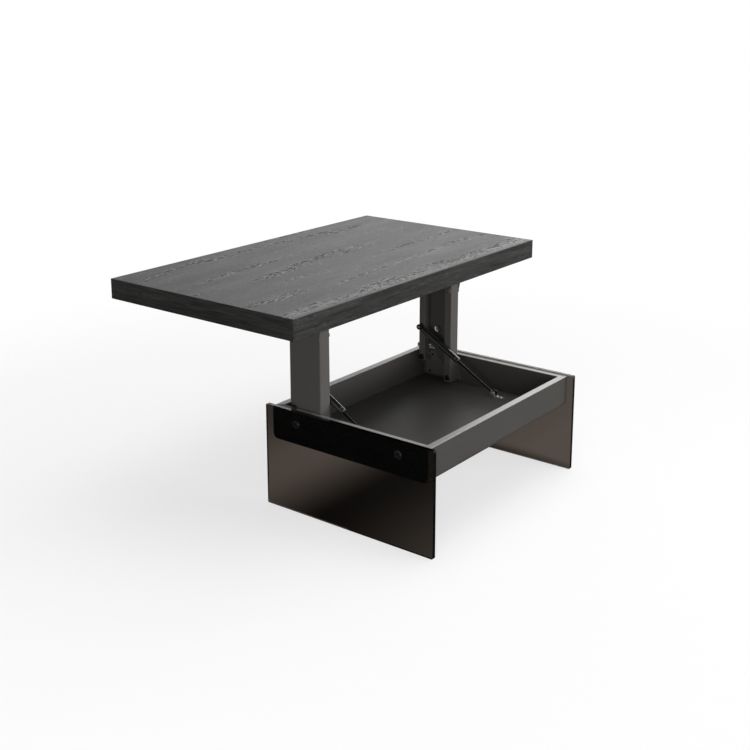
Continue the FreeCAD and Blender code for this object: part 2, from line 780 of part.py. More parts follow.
def make_lower_pins():
    """Pins of the lower pivots, and the sleeves that hold the links off their plates."""
    tail = "wall_inner_x + pin_tail"
    pair_group("arm_pivot_pins", [headed_pin("arm_pivot_pin", "arm_y", "arm_z", "arm_pin_radius", tail)])
    pair_group("link_pivot_pins", [headed_pin("link_pivot_pin", "link_y", "link_z", "link_pin_radius", tail)])
    spacer = ring("link_spacer", "link_outer_x + head_gap", "plate_inner_x", "link_y", "link_z",
                  "spacer_radius", "link_pin_radius + hole_clearance")
    pair_group("link_spacers", [spacer])


# Arms and links

def make_arms():
    """Lipped channels with the lower back corner cut away round the link's pivot."""
    body = new_body("main_arm")
    bend_y = "arm_front_y + arm_sheet"
    lip_y = "arm_front_y + arm_lip_width"
    pad(body, "arm_channel", "XY_Plane", "arm_bottom_z", "arm_end_z - arm_bottom_z",
        [("lip_inner_x", "arm_front_y"), ("web_outer_x", "arm_front_y"), ("web_outer_x", "arm_back_y"),
         ("web_inner_x", "arm_back_y"), ("web_inner_x", bend_y), ("lip_outer_x", bend_y),
         ("lip_outer_x", lip_y), ("lip_inner_x", lip_y)])
    foot_y = "arm_y + arm_foot_width"
    beyond_y = "arm_back_y + cut_margin"
    side_pocket(body, "arm_foot_cut", [
        (foot_y, "arm_bottom_z - cut_margin"), (beyond_y, "arm_bottom_z - cut_margin"),
        (beyond_y, "link_z"), ("link_y - arm_cutaway_radius", "link_z"), (foot_y, "arm_z + arm_foot_rise")])
    side_pocket(body, "arm_cutaway", holes=[("link_y", "link_z", "arm_cutaway_radius")])
    head_y = "arm_back_y - arm_head_cut_y"
    head_z = "arm_end_z - arm_head_cut_z"
    beyond_z = "arm_end_z + cut_margin"
    side_pocket(body, "arm_head_cut", [
        ("arm_back_y", head_z), (beyond_y, head_z), (beyond_y, beyond_z), (head_y, beyond_z),
        (head_y, "arm_end_z")])
    bush_hole = "arm_bush_radius + bush_clearance"
    side_pocket(body, "arm_holes", holes=[
        ("arm_y", "arm_z", bush_hole), ("arm_y", "arm_top_z", bush_hole),
        ("arm_y + arm_hole_y", "arm_z + arm_hole_z", "arm_hole_radius")])
    left_and_right("main_arm", body)
    walls = (("lip_inner_x", "lip_outer_x"), ("web_inner_x", "web_outer_x"))
    pair_group("arm_bushes", bushes("arm_bush", walls, "arm_y", ("arm_z", "arm_top_z"),
                                    "arm_bush_radius", "arm_pin_radius"))


def make_links():
    """Narrow channels that keep the top level."""
    body = new_body("control_link")
    front = "link_y - link_width / 2"
    back = "link_y + link_width / 2"
    wall_in = "lip_inner_x + link_sheet"
    wall_out = "link_outer_x - link_sheet"
    web_y = f"{front} + link_sheet"
    pad(body, "link_channel", "XY_Plane", "link_z - link_end", "arm_length + 2 * link_end",
        [("lip_inner_x", front), ("link_outer_x", front), ("link_outer_x", back), (wall_out, back),
         (wall_out, web_y), (wall_in, web_y), (wall_in, back), ("lip_inner_x", back)])
    bush_hole = "link_bush_radius + bush_clearance"
    side_pocket(body, "link_holes", holes=[
        ("link_y", "link_z", bush_hole), ("link_y", "link_top_z", bush_hole)])
    left_and_right("control_link", body)
    walls = (("lip_inner_x", wall_in), (wall_out, "link_outer_x"))
    pair_group("link_bushes", bushes("link_bush", walls, "link_y", ("link_z", "link_top_z"),
                                     "link_bush_radius", "link_pin_radius"))


def bushes(name, walls, y, heights, radius, pin_radius):
    """A plain bush in each wall at each pivot."""
    return [ring(f"{name}_{i}_{j}", low, high, y, z, radius, f"{pin_radius} + pin_clearance")
            for i, (low, high) in enumerate(walls) for j, z in enumerate(heights)]


# Gas springs

def make_spring_rods():
    """Piston rods with an eye at the lower end."""
    rod = turned_on_spring("gas_rod", [
        ("0", "rod_end_reach"), ("rod_radius", "rod_end_reach"), ("rod_radius", "piston_low"),
        ("cylinder_bore_radius - piston_clearance", "piston_low"),
        ("cylinder_bore_radius - piston_clearance", "piston_high"), ("0", "piston_high")])
    left_and_right("gas_rod", rod)
    eye = bar_along_x("rod_eye_ring", "spring_x - rod_eye_half_width", "spring_x + rod_eye_half_width",
                      "anchor_y", "anchor_z", "rod_eye_radius")
    neck = turned_on_spring("rod_eye_neck", [
        ("0", "0"), ("rod_neck_radius", "0"), ("rod_neck_radius", "rod_end_reach"), ("0", "rod_end_reach")])
    bore = bar_along_x("rod_eye_bore", "spring_x - ear_outer", "spring_x + ear_outer", "anchor_y", "anchor_z",
                       "anchor_pin_radius + pin_clearance")
    pair_group("rod_end_eyes", [cut("rod_end_eye", fuse("rod_eye_blank", [eye, neck]), [bore])])


def make_spring_cylinders():
    """Gas cylinders, their rod seals, and ball sockets with studs at the upper end."""
    bore = "cylinder_bore_radius"
    end = "tube_high - cylinder_end_wall"
    tube = turned_on_spring("gas_cylinder", [
        (bore, "tube_low"), ("cylinder_radius", "tube_low"), ("cylinder_radius", "tube_high"),
        ("0", "tube_high"), ("0", end), (bore, end)])
    left_and_right("gas_cylinder", tube)
    lip = "rod_radius + pin_clearance"
    edge = f"{bore} - bush_clearance"
    seal_end = "tube_low + seal_length"
    seal = turned_on_spring("rod_seal", [
        (lip, "tube_low"), (edge, "tube_low"), (edge, seal_end), (lip, seal_end)])
    pair_group("rod_seals", [seal])
    low = "spring_x - socket_half_width"
    high = "spring_x + socket_half_width"
    shell = bar_along_x("ball_socket_shell", low, high, "link_y", "stud_z", "socket_radius")
    neck = turned_on_spring("ball_socket_neck", [
        ("0", "tube_high"), ("socket_neck_radius", "tube_high"), ("socket_neck_radius", "spring_length"),
        ("0", "spring_length")])
    stud_bore = bar_along_x("ball_socket_bore", "spring_x", high, "link_y", "stud_z",
                            "stud_radius + pin_clearance")
    pair_group("ball_sockets", [cut("ball_socket", fuse("ball_socket_blank", [shell, neck]), [stud_bore])])
    flange_low = f"{high} + head_gap"
    flange_high = "lip_inner_x - stud_gap"
    flange = bar_along_x("ball_stud_flange", flange_low, flange_high, "link_y", "stud_z",
                         "stud_flange_radius")
    stud = bar_along_x("ball_stud_shank", "spring_x", flange_low, "link_y", "stud_z", "stud_radius")
    pair_group("ball_studs", [fuse("ball_stud", [flange, stud])])


def make_spring_brackets():
    """U-shaped brackets on the box floor, with the pins that hold the rod eyes."""
    foot_y = ("anchor_y - foot_front_reach", "anchor_y + foot_back_reach")
    foot = box("spring_bracket_foot", ("spring_x - ear_outer", "spring_x + ear_outer"), foot_y,
               ("floor_top_z", "floor_top_z + foot_sheet"))
    ear_y = ("anchor_y - ear_half_width", "anchor_y + ear_half_width")
    ear_z = ("floor_top_z", "anchor_z + ear_rise")
    ears = [box("spring_bracket_ear_in", ("spring_x - ear_outer", "spring_x - ear_inner"), ear_y, ear_z),
            box("spring_bracket_ear_out", ("spring_x + ear_inner", "spring_x + ear_outer"), ear_y, ear_z)]
    pin_hole = bar_along_x("spring_bracket_pin_hole", "spring_x - 2 * ear_outer", "spring_x + 2 * ear_outer",
                           "anchor_y", "anchor_z", "anchor_pin_radius + hole_clearance")
    holes = [pin_hole]
    screws = []
    for i, y in enumerate(foot_screw_places()):
        seat_z = "floor_top_z + foot_sheet"
        holes.append(bar(f"spring_bracket_screw_hole_{i}", "z", ("spring_x", y, "floor_top_z"),
                         "foot_screw_radius + hole_clearance", "foot_sheet"))
        head = bar(f"foot_screw_{i}_head", "z", ("spring_x", y, seat_z), "foot_screw_head_radius",
                   "foot_screw_head_height")
        shank = bar(f"foot_screw_{i}_shank", "z", ("spring_x", y, f"{seat_z} - foot_screw_length"),
                    "foot_screw_radius", "foot_screw_length")
        screws.append(fuse(f"foot_screw_{i}", [head, shank]))
    blank = fuse("spring_bracket_blank", [foot] + ears)
    left_and_right("spring_bracket", cut("spring_bracket", blank, holes))
    pair_group("spring_bracket_screws", screws)
    seat_x = "spring_x - ear_outer"
    head = bar_along_x("anchor_pin_head", f"{seat_x} - anchor_pin_head_height", seat_x, "anchor_y",
                       "anchor_z", "anchor_pin_head_radius")
    shank = bar_along_x("anchor_pin_shank", seat_x, "spring_x + ear_outer + anchor_pin_end", "anchor_y",
                        "anchor_z", "anchor_pin_radius")
    pair_group("spring_anchor_pins", [fuse("spring_anchor_pin", [head, shank])])


def check_model():
    """Stop if any object failed or any piece is empty or broken."""
    doc.recompute()
    for obj in doc.Objects:
        if "Invalid" in obj.State or "Error" in obj.State:
            raise RuntimeError(obj.Label + " failed: " + ", ".join(obj.State))
    labels = [obj.Label for obj in nodes]
    if len(set(labels)) != len(labels):
        raise RuntimeError("two pieces share a name")
    for obj in nodes:
        if obj.Shape.isNull() or not obj.Shape.isValid() or not obj.Shape.Solids:
            raise RuntimeError(obj.Label + " has no sound solid")


def write_parts():
    os.makedirs("parts", exist_ok=True)
    for obj in nodes:
        obj.Shape.exportStep(f"parts/{obj.Label}.step")
        print(obj.Label, len(obj.Shape.Solids), round(obj.Shape.Volume))


dimensions = fill_sheet()
make_top_board()
mitred_frame("top_edge", "half_top", "top_front_y", "top_back_y", "edge_thickness",
             ("top_bottom_z", "top_z"), "ceiling_z")
make_top_stiffening()
make_top_brackets()
make_upper_pins()
make_glass()
make_rails()
make_box_ends()
make_box_floor()
make_rim()
make_pivot_plates()
make_lower_pins()
make_arms()
make_links()
make_spring_rods()
make_spring_cylinders()
make_spring_brackets()
check_model()
write_parts()
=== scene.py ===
import json
import math

import bmesh
import bpy
from mathutils import Matrix, Vector


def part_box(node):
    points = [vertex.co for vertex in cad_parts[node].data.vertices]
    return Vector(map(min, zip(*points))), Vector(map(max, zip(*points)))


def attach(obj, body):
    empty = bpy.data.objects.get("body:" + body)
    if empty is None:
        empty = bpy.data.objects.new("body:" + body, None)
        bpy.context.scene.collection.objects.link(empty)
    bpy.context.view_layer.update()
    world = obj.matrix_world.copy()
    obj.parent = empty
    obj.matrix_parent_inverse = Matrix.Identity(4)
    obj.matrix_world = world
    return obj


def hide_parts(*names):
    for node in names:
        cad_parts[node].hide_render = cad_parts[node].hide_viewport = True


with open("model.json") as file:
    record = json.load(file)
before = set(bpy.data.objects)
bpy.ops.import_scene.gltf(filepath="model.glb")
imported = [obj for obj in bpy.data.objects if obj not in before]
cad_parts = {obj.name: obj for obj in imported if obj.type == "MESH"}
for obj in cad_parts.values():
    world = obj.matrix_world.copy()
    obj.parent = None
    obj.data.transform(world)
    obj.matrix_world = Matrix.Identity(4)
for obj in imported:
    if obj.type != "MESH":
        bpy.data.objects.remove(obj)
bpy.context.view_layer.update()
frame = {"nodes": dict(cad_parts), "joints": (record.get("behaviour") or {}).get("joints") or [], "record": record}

# Sizes of pieces are in millimetres and are multiplied by MM, and finishes and the studio are in metres
MM = 0.001
WELD = 0.002 * MM
NODES = frame["nodes"]
BODIES = frame["record"]["behaviour"]["bodies"]
BODY_OF = {node: body for body, members in BODIES.items() for node in members}
SLOT_OF = {part["node"]: part["material_slot"] for part in frame["record"]["subparts"]}
PIVOTS = {joint["name"]: Vector(joint["pos_m"]) / MM for joint in frame["joints"] if joint.get("pos_m")}
HANDS = {"right": 1, "left": -1}
SIDES = tuple(HANDS.values())


# Finishes: every material is built from procedural nodes, in the object's own metres

class Value:
    """An output socket of a finish. Arithmetic on it adds Math nodes to that finish."""

    def __init__(self, finish, socket):
        self.finish = finish
        self.socket = socket

    def math(self, operation, *operands):
        return self.finish.add("ShaderNodeMath", {"operation": operation}, dict(enumerate(operands)))

    def __add__(self, other):
        return self.math("ADD", self, other)

    __radd__ = __add__

    def __sub__(self, other):
        return self.math("SUBTRACT", self, other)

    def __rsub__(self, other):
        return self.math("SUBTRACT", other, self)

    def __mul__(self, other):
        return self.math("MULTIPLY", self, other)

    __rmul__ = __mul__

    def root(self):
        return self.math("SQRT", self)

    def fraction(self):
        return self.math("FRACT", self)

    def distance_from(self, other):
        return self.math("ABSOLUTE", self - other)

    def at_most(self, other):
        return self.math("MINIMUM", self, other)

    def between(self, low, high):
        """0 below low, 1 above high, and a smooth step in between."""
        return self.finish.add("ShaderNodeMapRange", {"interpolation_type": "SMOOTHSTEP"},
                               {"Value": self, "From Min": low, "From Max": high})

    def output(self, name):
        """Another output of the same node."""
        return Value(self.finish, self.socket.node.outputs[name])


class Finish:
    """The node tree of a material or of the world, under construction."""

    def __init__(self, owner):
        owner.use_nodes = True
        self.owner = owner
        self.tree = owner.node_tree
        self.tree.nodes.clear()

    def add(self, kind, settings=None, sockets=None, output=0):
        """A node of one type: its settings go on first, then the values or links of its sockets."""
        node = self.tree.nodes.new(kind)
        for name, value in (settings or {}).items():
            setattr(node, name, value)
        for name, value in (sockets or {}).items():
            if isinstance(value, Value):
                self.tree.links.new(value.socket, node.inputs[name])
            else:
                node.inputs[name].default_value = value
        return Value(self, node.outputs[output]) if len(node.outputs) else None

    def place(self):
        """The point on the surface."""
        return self.add("ShaderNodeTexCoord", output="Object")

    def axes(self, vector):
        split = self.add("ShaderNodeSeparateXYZ", sockets={"Vector": vector})
        return split, split.output("Y"), split.output("Z")

    def vector(self, x, y, z):
        return self.add("ShaderNodeCombineXYZ", sockets={"X": x, "Y": y, "Z": z})

    def noise(self, vector, scale, detail, roughness=0.5):
        return self.add("ShaderNodeTexNoise", sockets={
            "Vector": vector, "Scale": scale, "Detail": detail, "Roughness": roughness})

    def blend(self, share, first, second):
        """A colour between two colours."""
        return self.add("ShaderNodeMix", {"data_type": "RGBA"}, {0: share, 6: first, 7: second}, output=2)

    def layered(self, share, under, over):
        """A shader that lets a share of another one show in its place."""
        return self.add("ShaderNodeMixShader", sockets={0: share, 1: under, 2: over})

    def bump(self, height, distance, strength):
        return self.add("ShaderNodeBump", sockets={
            "Height": height, "Distance": distance, "Strength": strength})

    def surface(self, sockets):
        """The finished material, with one principled shader."""
        shader = self.add("ShaderNodeBsdfPrincipled", sockets=sockets)
        self.add("ShaderNodeOutputMaterial", sockets={"Surface": shader})
        return self.owner


def new_finish(name):
    """The finish of a new material."""
    return Finish(bpy.data.materials.new(name))


def grey(value, warmth=0.0):
    """A near-neutral linear colour, a little warmer or cooler."""
    return (value * (1 + warmth), value, value * (1 - warmth), 1.0)


def stained_oak(name, grain_axis, openness, painted_lightness, strip=None):
    """Black-stained, brushed oak with its grain along X or Y.

    Its pores are more or less open, and an open-pored strip, paler with painted sheen, may lie at one place across
    the grain.
    """
    oak = new_finish(name)
    x, y, z = oak.axes(oak.place())
    along, across = (x, y) if grain_axis == "X" else (y, x)

    def figure(lengthwise, waves_across, detail, roughness=0.5):
        """Noise drawn out along the grain, with so many waves a metre across it."""
        place = oak.vector(lengthwise, across * waves_across, z * waves_across)
        return oak.noise(place, 1.0, detail, roughness)

    drift = figure(along * 1.5, 6.0, 2.0) - 0.5
    # Broken lines of open pores and shiny flecks, partly painted glints, follow the early wood of each year
    year = (across * 9.0 + z * 30.0 + drift * 2.4).fraction()
    crowd = 1 - year.distance_from(0.5).between(0.03, 0.22)
    crowd = crowd * figure(along * 3.4, 8.0, 2.0).between(0.36, 0.56)
    if strip is not None:
        pores_and_sheen_strip = 1 - (across + drift * 0.02).distance_from(strip).between(0.006, 0.024)
        crowd = (crowd + pores_and_sheen_strip * 0.8).at_most(1.0)
    crowd = crowd * openness
    dash = figure(along * 56.0, 260.0, 2.0, 0.55)
    split = (dash + crowd * 0.19).between(0.69, 0.735)
    glint = figure(along * 64.0 + 7.0, 280.0, 2.0, 0.55)
    fleck_and_glint = (glint + crowd * 0.13 + 0.03 * openness ** 2).between(0.70, 0.75) * (1 - split)
    pore = figure(along * 55.0, 1100.0, 2.0).between(0.60, 0.72)
    fibre = figure(along * 16.0, 700.0, 3.0, 0.6) - 0.5
    streak = figure(along * 11.0, 250.0, 3.0, 0.6) - 0.5
    cloud = figure(along * 2.4, 15.0, 4.0, 0.6) - 0.5
    # Crowded pores and the strip lighten the tone: painted sheen over the real open pores
    tone = oak.blend(0.5 + cloud + streak * 2.2 + fibre * 0.8 + crowd * 0.35,
                     grey(0.005 * painted_lightness, 0.03), grey(0.036 * painted_lightness, 0.03))
    # The strip's pale tone is painted sheen
    if strip is not None:
        tone = oak.blend(pores_and_sheen_strip * 0.7, tone, grey(0.12, 0.03))
    tone = oak.blend((split + pore * 0.5).at_most(1.0) * 0.92, tone, grey(0.001))
    height = fibre * 0.12 + streak * 0.32 + fleck_and_glint * 0.25 - split - pore * 0.18
    return oak.surface({
        # Pale flecks are oak figure and painted glints together
        "Base Color": oak.blend(fleck_and_glint * (0.65 * openness ** 2), tone, grey(0.22, 0.03)),
        "Roughness": 0.40 + split * 0.25 - fleck_and_glint * 0.1 + cloud * 0.24 + fibre * 0.1,
        "Specular IOR Level": 0.55,
        "Normal": oak.bump(height, 0.0011, 0.8)})


def powder_coat(name, dark, light, rough, grain=0.00012):
    """Paint with a fine, even texture."""
    paint = new_finish(name)
    place = paint.place()
    speck = paint.noise(place, 1400.0, 2.0, 0.6)
    cloud = paint.noise(place, 7.0, 3.0)
    return paint.surface({
        "Base Color": paint.blend(cloud * 0.7 + speck * 0.3, dark, light),
        "Roughness": rough + (cloud - 0.5) * 0.12 + (speck - 0.5) * 0.1,
        "Specular IOR Level": 0.4,
        "Normal": paint.bump(speck, grain, 0.8)})


def plated(name, dark, light, rough, brush=None, bare=1.0):
    """Metal with fine marks, brushed along one axis where it is named, and more or less bare."""
    metal = new_finish(name)
    place = metal.place()
    cloud = metal.noise(place, 40.0, 3.0)
    if brush:
        waves = [9.0 if axis == brush else 2600.0 for axis in "XYZ"]
        drawn_out = metal.vector(*(part * wave for part, wave in zip(metal.axes(place), waves)))
        mark = metal.noise(drawn_out, 1.0, 2.0)
    else:
        mark = metal.noise(place, 900.0, 3.0, 0.6)
    return metal.surface({
        "Base Color": metal.blend(cloud * 0.6 + mark * 0.4, dark, light),
        "Metallic": bare,
        "Roughness": rough + (cloud - 0.5) * 0.10 + (mark - 0.5) * 0.08,
        "Normal": metal.bump(mark, 0.00002, 0.35)})


def moulded(name, dark, light, rough, grain_waves):
    """Moulded plastic or rubber with a fine grain."""
    plastic = new_finish(name)
    place = plastic.place()
    grain = plastic.noise(place, grain_waves, 2.0)
    cloud = plastic.noise(place, 60.0, 2.0)
    return plastic.surface({
        "Base Color": plastic.blend(cloud, dark, light),
        "Roughness": rough + (grain - 0.5) * 0.15,
        "Specular IOR Level": 0.4,
        "Normal": plastic.bump(grain, 0.00006, 0.6)})


def gloss_lacquer(name, dark, light):
    """Smooth black lacquer under a clear coat."""
    lacquer = new_finish(name)
    place = lacquer.place()
    peel = lacquer.noise(place, 420.0, 1.0)
    cloud = lacquer.noise(place, 30.0, 2.0)
    return lacquer.surface({
        "Base Color": lacquer.blend(cloud, dark, light),
        "Roughness": 0.12 + (peel - 0.5) * 0.06,
        "Specular IOR Level": 0.8,
        "Coat Weight": 1.0, "Coat IOR": 1.8, "Coat Roughness": 0.05,
        "Normal": lacquer.bump(peel, 0.00003, 0.2)})


def bronze_glass(name):
    """Smoked glass, tinted through its thickness, with faint wipe marks."""
    glass = new_finish(name)
    wipe = glass.noise(glass.place(), 5.0, 4.0, 0.6)
    shader = glass.add("ShaderNodeBsdfPrincipled", sockets={
        "Base Color": grey(1.0), "Transmission Weight": 1.0, "IOR": 1.5,
        "Roughness": wipe.between(0.45, 0.8) * 0.03})
    tint = glass.add("ShaderNodeVolumeAbsorption", sockets={
        "Color": (0.318, 0.262, 0.213, 1.0), "Density": 270.0})
    glass.add("ShaderNodeOutputMaterial", sockets={"Surface": shader, "Volume": tint})
    return glass.owner


# The top's open-pored strip, paler with painted sheen, lies 28 mm behind its front edge
PALE_STRIP_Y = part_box("top_edge_front")[0].y + 28 * MM
# Lower lightness on the long sides is painted shade, and higher lightness on the ends painted light, against the
# top face
OAK_FACE = stained_oak("oak_top_face", "X", openness=1.0, painted_lightness=1.0, strip=PALE_STRIP_Y)
OAK_SIDE = stained_oak("oak_long_side", "X", openness=0.55, painted_lightness=0.85)
OAK_END = stained_oak("oak_end", "Y", openness=0.55, painted_lightness=1.1)
FINISHES = {
    "top_oak": OAK_FACE,
    "batten_wood": powder_coat("stained_batten", grey(0.030, 0.05), grey(0.048, 0.05), 0.6),
    "box_lacquer": powder_coat("box_lacquer", grey(0.040, 0.06), grey(0.050, 0.06), 0.46, grain=0.00006),
    "rim_satin": plated("rim_satin", grey(0.41, 0.02), grey(0.48, 0.02), 0.36, bare=0.55),
    "arm_paint": powder_coat("arm_powder_coat", grey(0.061, 0.06), grey(0.073, 0.06), 0.48),
    "smoked_glass": bronze_glass("smoked_glass"),
    "black_hardware": powder_coat("black_oxide", grey(0.004), grey(0.007), 0.26, grain=0.00003),
    "bright_zinc": plated("bright_zinc", grey(0.66, 0.01), grey(0.78, -0.01), 0.40),
    "spring_black": gloss_lacquer("spring_lacquer", grey(0.009), grey(0.014)),
    "rod_steel": plated("rod_steel", grey(0.020), grey(0.029), 0.2, brush="Y"),
    "black_nylon": moulded("black_nylon", grey(0.012), grey(0.018), 0.5, 700.0),
    "black_rubber": moulded("black_rubber", grey(0.010), grey(0.014), 0.7, 900.0),
}
UNDERSIDE = powder_coat("black_backing", grey(0.016), grey(0.022), 0.62)
# Darker paint on the web inside the arms' channel: painted shade
CHANNEL_SHADE_PAINT = powder_coat("channel_painted_shade", grey(0.040, 0.06), grey(0.048, 0.06), 0.52)
# Pale liner of the arm holes: a painted highlight
HIGHLIGHT_LINER = moulded("pale_nylon_highlight", grey(0.80, 0.02), grey(0.88, 0.02), 0.4, 700.0)


# Places and pieces

def box_of(node):
    """Lowest and highest corner of a CAD node, in millimetres."""
    return [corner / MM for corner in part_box(node)]


def inner_face(node):
    """How far a CAD node that comes in pairs keeps from the table's middle, in millimetres."""
    return min(abs(vertex.co.x) for vertex in NODES[node].data.vertices) / MM


def facing(side, x, y, z, outward):
    """A place whose own Z axis points along X, away from the table's middle or towards it."""
    turn = math.pi / 2 * side * (1 if outward else -1)
    return Matrix.Translation(Vector((side * x, y, z)) * MM) @ Matrix.Rotation(turn, 4, "Y")


def upright(x, y, z, up=True):
    """A place whose own Z axis points up or down."""
    spin = Matrix.Identity(4) if up else Matrix.Rotation(math.pi, 4, "X")
    return Matrix.Translation(Vector((x, y, z)) * MM) @ spin


def added_piece(name, bm, body, slot, finishes=None):
    """A finished piece that moves with one body."""
    mesh = bpy.data.meshes.new(name)
    bmesh.ops.recalc_face_normals(bm, faces=bm.faces)
    for face in bm.faces:
        face.smooth = True
    bm.to_mesh(mesh)
    bm.free()
    for finish in finishes or [FINISHES[slot]]:
        mesh.materials.append(finish)
    obj = bpy.data.objects.new(name, mesh)
    bpy.context.scene.collection.objects.link(obj)
    normals = obj.modifiers.new("face_weighted_normals", "WEIGHTED_NORMAL")
    normals.weight = 60
    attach(obj, body)
    return obj


def piece(name, bm, nodes, finishes=None):
    """A finished piece that stands for CAD nodes of one body."""
    obj = added_piece(name, bm, BODY_OF[nodes[0]], SLOT_OF[nodes[0]], finishes)
    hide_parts(*nodes)


# Pieces with eased edges

def solid_of(node):
    """A CAD node's solid with whole flat faces in place of its triangles."""
    bm = bmesh.new()
    bm.from_mesh(NODES[node].data)
    bmesh.ops.remove_doubles(bm, verts=bm.verts, dist=WELD)
    bmesh.ops.dissolve_limit(bm, angle_limit=math.radians(0.5), verts=bm.verts, edges=bm.edges)
    return bm


def round_edges(bm, edges, radius, steps):
    """Rounds edges to a radius in millimetres."""
    if edges:
        bmesh.ops.bevel(bm, geom=edges, offset=radius * MM, offset_type="OFFSET", segments=steps,
                        profile=0.5, affect="EDGES", clamp_overlap=True)


def sharp_edges(bm):
    """Edges that turn by more than 40 degrees."""
    return [e for e in bm.edges if len(e.link_faces) == 2 and e.calc_face_angle(0) > math.radians(40)]


def front_bends(bm, node):
    """The upright edges at the two front corners of a folded sheet."""
    tolerance = 0.05 * MM
    low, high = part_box(node)
    corners = [Vector((x, low.y)) for x in (low.x, high.x)]

    def stands_at(edge, corner):
        return all((vertex.co.xy - corner).length < tolerance for vertex in edge.verts)

    return [edge for edge in bm.edges if any(stands_at(edge, corner) for corner in corners)]


def eased_solid(node, radius, steps=2, bend_radius=None):
    """A CAD node's solid with its bends rounded and its sharp edges eased, as made."""
    bm = solid_of(node)
    if bend_radius:
        round_edges(bm, front_bends(bm, node), bend_radius, 4)
    round_edges(bm, sharp_edges(bm), radius, steps)
    bmesh.ops.recalc_face_normals(bm, faces=bm.faces)
    return bm


def eased(node, radius, steps=2, bend_radius=None):
    """A piece of that solid in its node's own finish."""
    piece(node + "_made", eased_solid(node, radius, steps, bend_radius), [node])


# Turned pieces

def hexagon_reach(angle):
    """How far a hexagon's side lies from its middle, for flats at distance 1."""
    sixth = math.pi / 3
    return 1 / math.cos((angle % sixth) - sixth / 2)


def turned(bm, rings, place, steps=40):
    """Adds a turned solid and gives its faces, end by band by end.

    A ring is (radius, height), in millimetres, or (half width, height, "hex").
    """
    rows = []
    for radius, height, *form in rings:
        row = []
        for i in range(steps):
            angle = 2 * math.pi * i / steps
            reach = radius * MM * (hexagon_reach(angle) if form else 1.0)
            point = Vector((reach * math.cos(angle), reach * math.sin(angle), height * MM))
            row.append(bm.verts.new(place @ point))
        rows.append(row)
    bands = [[bm.faces.new(rows[0][::-1])]]
    for low, high in zip(rows, rows[1:]):
        around = [(i, (i + 1) % steps) for i in range(steps)]
        bands.append([bm.faces.new((low[i], low[j], high[j], high[i])) for i, j in around])
    bands.append([bm.faces.new(rows[-1])])
    return bands


def set_finish(bands, index):
    """Gives turned faces one of their piece's finishes."""
    for band in bands:
        for face in band:
            face.material_index = index


def button_head(radius, height, socket):
    """Rings of a rounded screw head with a hexagon socket, from its seat up."""
    return [(radius * 0.96, 0), (radius, height * 0.08), (radius, height * 0.34),
            (radius * 0.94, height * 0.62), (radius * 0.80, height * 0.84), (radius * 0.62, height * 0.96),
            (socket * 1.4, height), (socket * 1.05, height, "hex"), (socket, height * 0.94, "hex"),
            (socket, height * 0.45, "hex")]


def button_screw(shank, length, radius, height, socket):
    """Rings of a screw with a button head, whose seat is at height 0."""
    return [(shank, -length), (shank, 0), *button_head(radius, height, socket)]


def screw_boxes(node):
    """Lowest and highest corner of each right-hand screw of a CAD node, in millimetres."""
    bm = bmesh.new()
    bm.from_mesh(NODES[node].data)
    bmesh.ops.remove_doubles(bm, verts=bm.verts, dist=WELD)
    boxes, seen = [], set()
    for start in bm.verts:
        if start in seen or start.co.x < 0:
            continue
        seen.add(start)
        screw = [start]
        for vertex in screw:
            neighbours = [edge.other_vert(vertex) for edge in vertex.link_edges]
            fresh = [other for other in neighbours if other not in seen]
            seen.update(fresh)
            screw.extend(fresh)
        boxes.append([Vector(pick(v.co[i] for v in screw) for i in range(3)) / MM for pick in (min, max)])
    bm.free()
    return boxes


# Top

def make_top():
    """One hollow oak top with eased arrises, veneered along each face."""
    outer_arris, inner_arris = 1.5, 0.6
    low, edge_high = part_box("top_edge_front")
    board_low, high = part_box("top_board")
    edge = edge_high.y - low.y
    bm = bmesh.new()

    def ring(inset, z):
        corners = ((low.x + inset, low.y + inset), (high.x - inset, low.y + inset),
                   (high.x - inset, high.y - inset), (low.x + inset, high.y - inset))
        return [bm.verts.new((x, y, z)) for x, y in corners]

    def finish_of(face):
        """0 on the top face, 1 on the long sides, 2 on the ends and 3 in the hollow underside."""
        middle = face.calc_center_median()
        inside = (low.x + edge - MM < middle.x < high.x - edge + MM
                  and low.y + edge - MM < middle.y < high.y - edge + MM and middle.z < board_low.z + MM)
        if inside:
            return 3
        if abs(face.normal.x) > 0.75 or (face.normal.z < -0.5 and abs(middle.x) > high.x - edge):
            return 2
        return 0 if face.normal.z > 0.5 else 1

    rings = [ring(0, high.z), ring(0, low.z), ring(edge, low.z), ring(edge, board_low.z)]
    bm.faces.new(rings[0])
    for upper, lower in zip(rings, rings[1:]):
        for i in range(4):
            j = (i + 1) % 4
            bm.faces.new((upper[i], lower[i], lower[j], upper[j]))
    bm.faces.new(rings[-1][::-1])
    bmesh.ops.recalc_face_normals(bm, faces=bm.faces)
    outer = set(rings[0] + rings[1])
    round_edges(bm, [e for e in sharp_edges(bm) if set(e.verts) <= outer], outer_arris, 3)
    round_edges(bm, [e for e in sharp_edges(bm) if e.is_convex], inner_arris, 1)
    bmesh.ops.recalc_face_normals(bm, faces=bm.faces)
    for face in bm.faces:
        face.material_index = finish_of(face)
    nodes = ["top_board"] + ["top_edge_" + side for side in ("front", "right", "back", "left")]
    piece("oak_top", bm, nodes, [OAK_FACE, OAK_SIDE, OAK_END, UNDERSIDE])


def make_top_frame():
    """Battens, stiffeners and brackets under the board."""
    for hand in ("left", "right"):
        eased("top_batten_" + hand, 1.5)
        eased("top_bracket_" + hand, 0.5)
    for side in ("front", "back"):
        eased("top_stiffener_" + side, 1.5)


